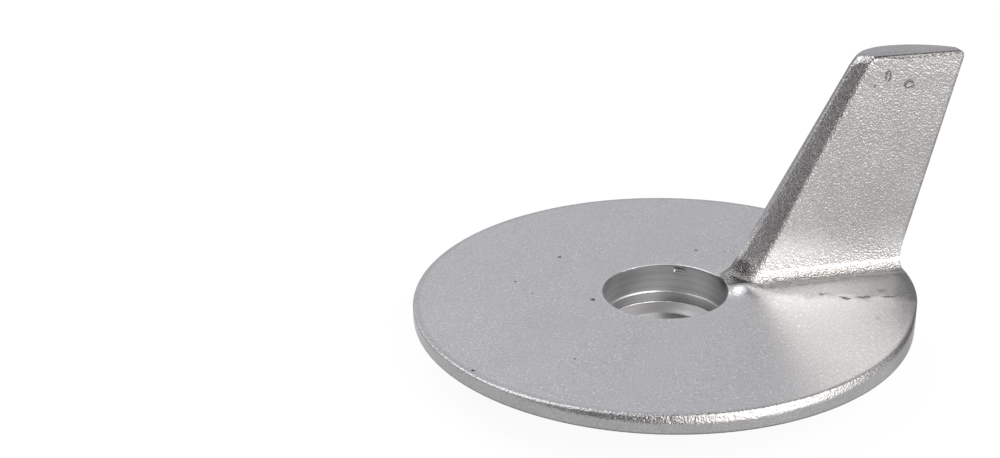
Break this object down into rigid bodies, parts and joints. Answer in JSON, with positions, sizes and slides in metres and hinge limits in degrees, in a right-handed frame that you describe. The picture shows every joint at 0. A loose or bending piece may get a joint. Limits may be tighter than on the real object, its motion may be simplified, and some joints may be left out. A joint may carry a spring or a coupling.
{
  "type": "sacrificial anode",
  "caption": "Cast trim tab anode: a round disc with a swept fin on one side, and a hollow conical boss for the bolt and a small locating pin on the other.",
  "frame": {"origin": "on the bolt axis, in the plane of the mounting face", "axes": "+Z along the bolt axis to the tip of the fin, -X from the bolt axis to the locating pin"},
  "size_m": [0.1046, 0.0952, 0.0565],
  "materials": {
    "cast_metal": "bare as-cast silver grey, with pits, fine sparkle and a turned counterbore"
  },
  "bodies": {
    "root": {"anode": "cast_metal"}
  },
  "joints": []
}
